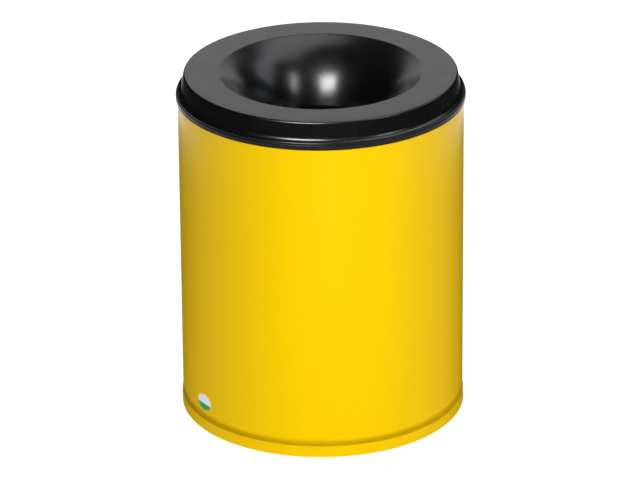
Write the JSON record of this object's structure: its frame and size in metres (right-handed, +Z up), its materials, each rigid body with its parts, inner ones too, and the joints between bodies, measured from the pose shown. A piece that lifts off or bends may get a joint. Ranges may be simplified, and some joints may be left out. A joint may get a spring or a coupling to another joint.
{
  "type": "self-extinguishing waste can",
  "caption": "Round sheet-steel waste can with a lift-off black funnel head that smothers fire, and a removable inner liner with drop handles.",
  "frame": {"origin": "centre of the circle that the can stands on", "axes": "+Z up along the can's axis, -Y towards the front, +X to the right seen from the front"},
  "size_m": [0.315, 0.315, 0.39],
  "materials": {
    "yellow_paint": "smooth satin powder coat",
    "black_paint": "smooth satin powder coat",
    "steel_wire": "drawn",
    "spring_steel": "bare rolled strip",
    "galvanised_steel": "hot-dip galvanised with spangle",
    "zinc_plate": "zinc plated",
    "zinc_wire": "zinc plated drawn wire",
    "rivet_steel": "zinc plated",
    "label_film": "gloss film, white above and green below"
  },
  "bodies": {
    "can": {"body_shell": "yellow_paint", "rim_wire": "steel_wire", "base_pan": "yellow_paint", "base_ring": "yellow_paint", "label": "label_film"},
    "head": {"head_shell": "black_paint", "retaining_spring_1": "spring_steel", "retaining_spring_2": "spring_steel", "retaining_spring_3": "spring_steel"},
    "liner": {"liner_shell": "galvanised_steel", "liner_base": "galvanised_steel", "liner_rim_wire": "steel_wire", "ear_right_front": "zinc_plate", "ear_right_back": "zinc_plate", "ear_left_front": "zinc_plate", "ear_left_back": "zinc_plate", "ear_rivets_right": "rivet_steel", "ear_rivets_left": "rivet_steel"},
    "right_handle": {"handle_right": "zinc_wire"},
    "left_handle": {"handle_left": "zinc_wire"}
  },
  "joints": [
    {"name": "head_lift", "type": "slide", "parent": "can", "child": "head", "axis": [0, 0, 1], "range_m": [0, 0.465]},
    {"name": "liner_lift", "type": "slide", "parent": "can", "child": "liner", "axis": [0, 0, 1], "range_m": [0, 0.372]},
    {"name": "right_handle_swing", "type": "hinge", "parent": "liner", "child": "right_handle", "pos_m": [0.126, 0, 0.33], "axis": [0, 1, 0], "range_deg": [-12, 180]},
    {"name": "left_handle_swing", "type": "hinge", "parent": "liner", "child": "left_handle", "pos_m": [-0.126, 0, 0.33], "axis": [0, -1, 0], "range_deg": [-12, 180]}
  ],
  "couplings": [
    {"joint": "liner_lift", "follows": "head_lift", "ratio": 0.8}
  ]
}
